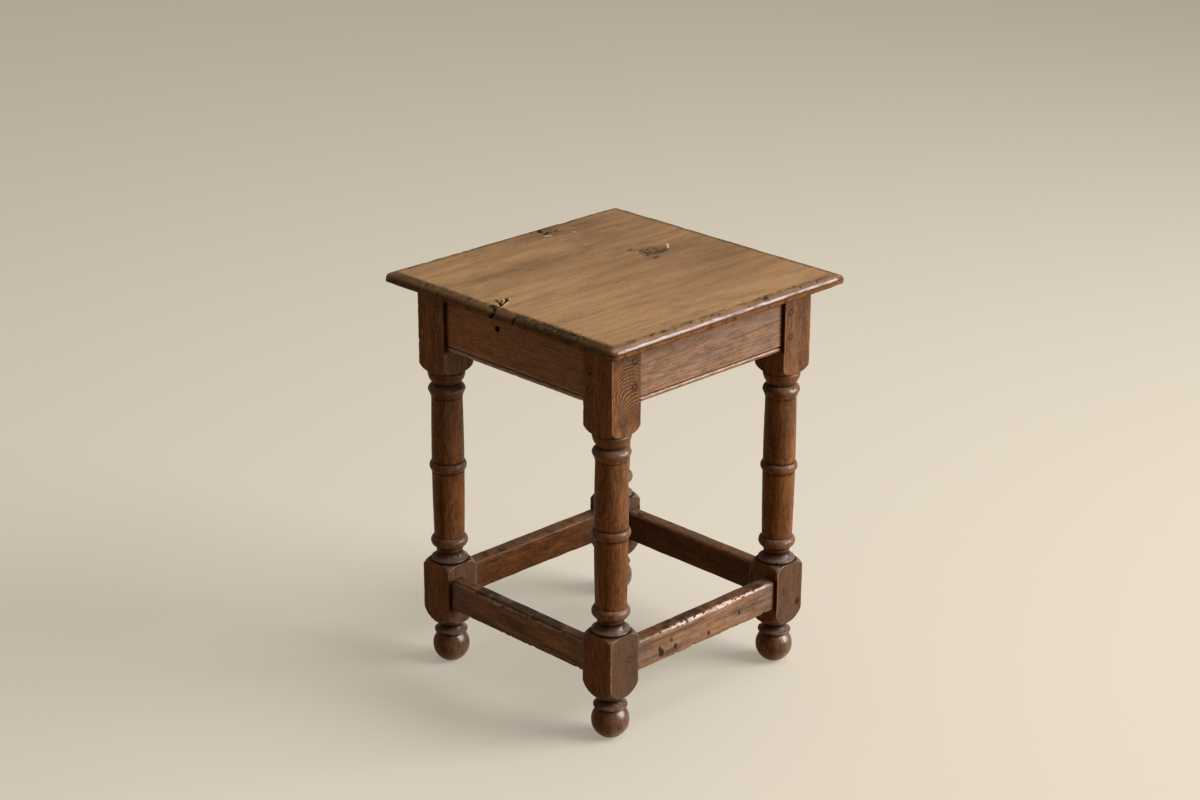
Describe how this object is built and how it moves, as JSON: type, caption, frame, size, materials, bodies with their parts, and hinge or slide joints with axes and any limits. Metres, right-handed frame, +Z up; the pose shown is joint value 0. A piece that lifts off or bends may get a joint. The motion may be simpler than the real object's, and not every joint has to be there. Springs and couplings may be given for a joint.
{
  "type": "joint stool",
  "caption": "Low square oak joint stool with a moulded board seat, turned legs with ball feet, beaded rails and a box of stretchers, all pegged mortise and tenon.",
  "frame": {"origin": "on the floor, under the middle of the seat", "axes": "+Z up, +X along the grain of the seat board, -Y towards the front rail"},
  "size_m": [0.403, 0.4, 0.53],
  "materials": {
    "oak_seat": "waxed, worn oak board, golden brown, satin",
    "oak_frame": "old dark red-brown oak with a waxed patina",
    "oak_pegs": "end grain of riven oak pegs, darkened"
  },
  "bodies": {
    "root": {"seat_board": "oak_seat", "leg_front_left": "oak_frame", "leg_front_right": "oak_frame", "leg_back_left": "oak_frame", "leg_back_right": "oak_frame", "rail_front": "oak_frame", "rail_right": "oak_frame", "rail_back": "oak_frame", "rail_left": "oak_frame", "stretcher_front": "oak_frame", "stretcher_right": "oak_frame", "stretcher_back": "oak_frame", "stretcher_left": "oak_frame", "rail_pegs_front": "oak_pegs", "rail_pegs_right": "oak_pegs", "rail_pegs_back": "oak_pegs", "rail_pegs_left": "oak_pegs", "stretcher_pegs_front": "oak_pegs", "stretcher_pegs_right": "oak_pegs", "stretcher_pegs_back": "oak_pegs", "stretcher_pegs_left": "oak_pegs"}
  },
  "joints": []
}
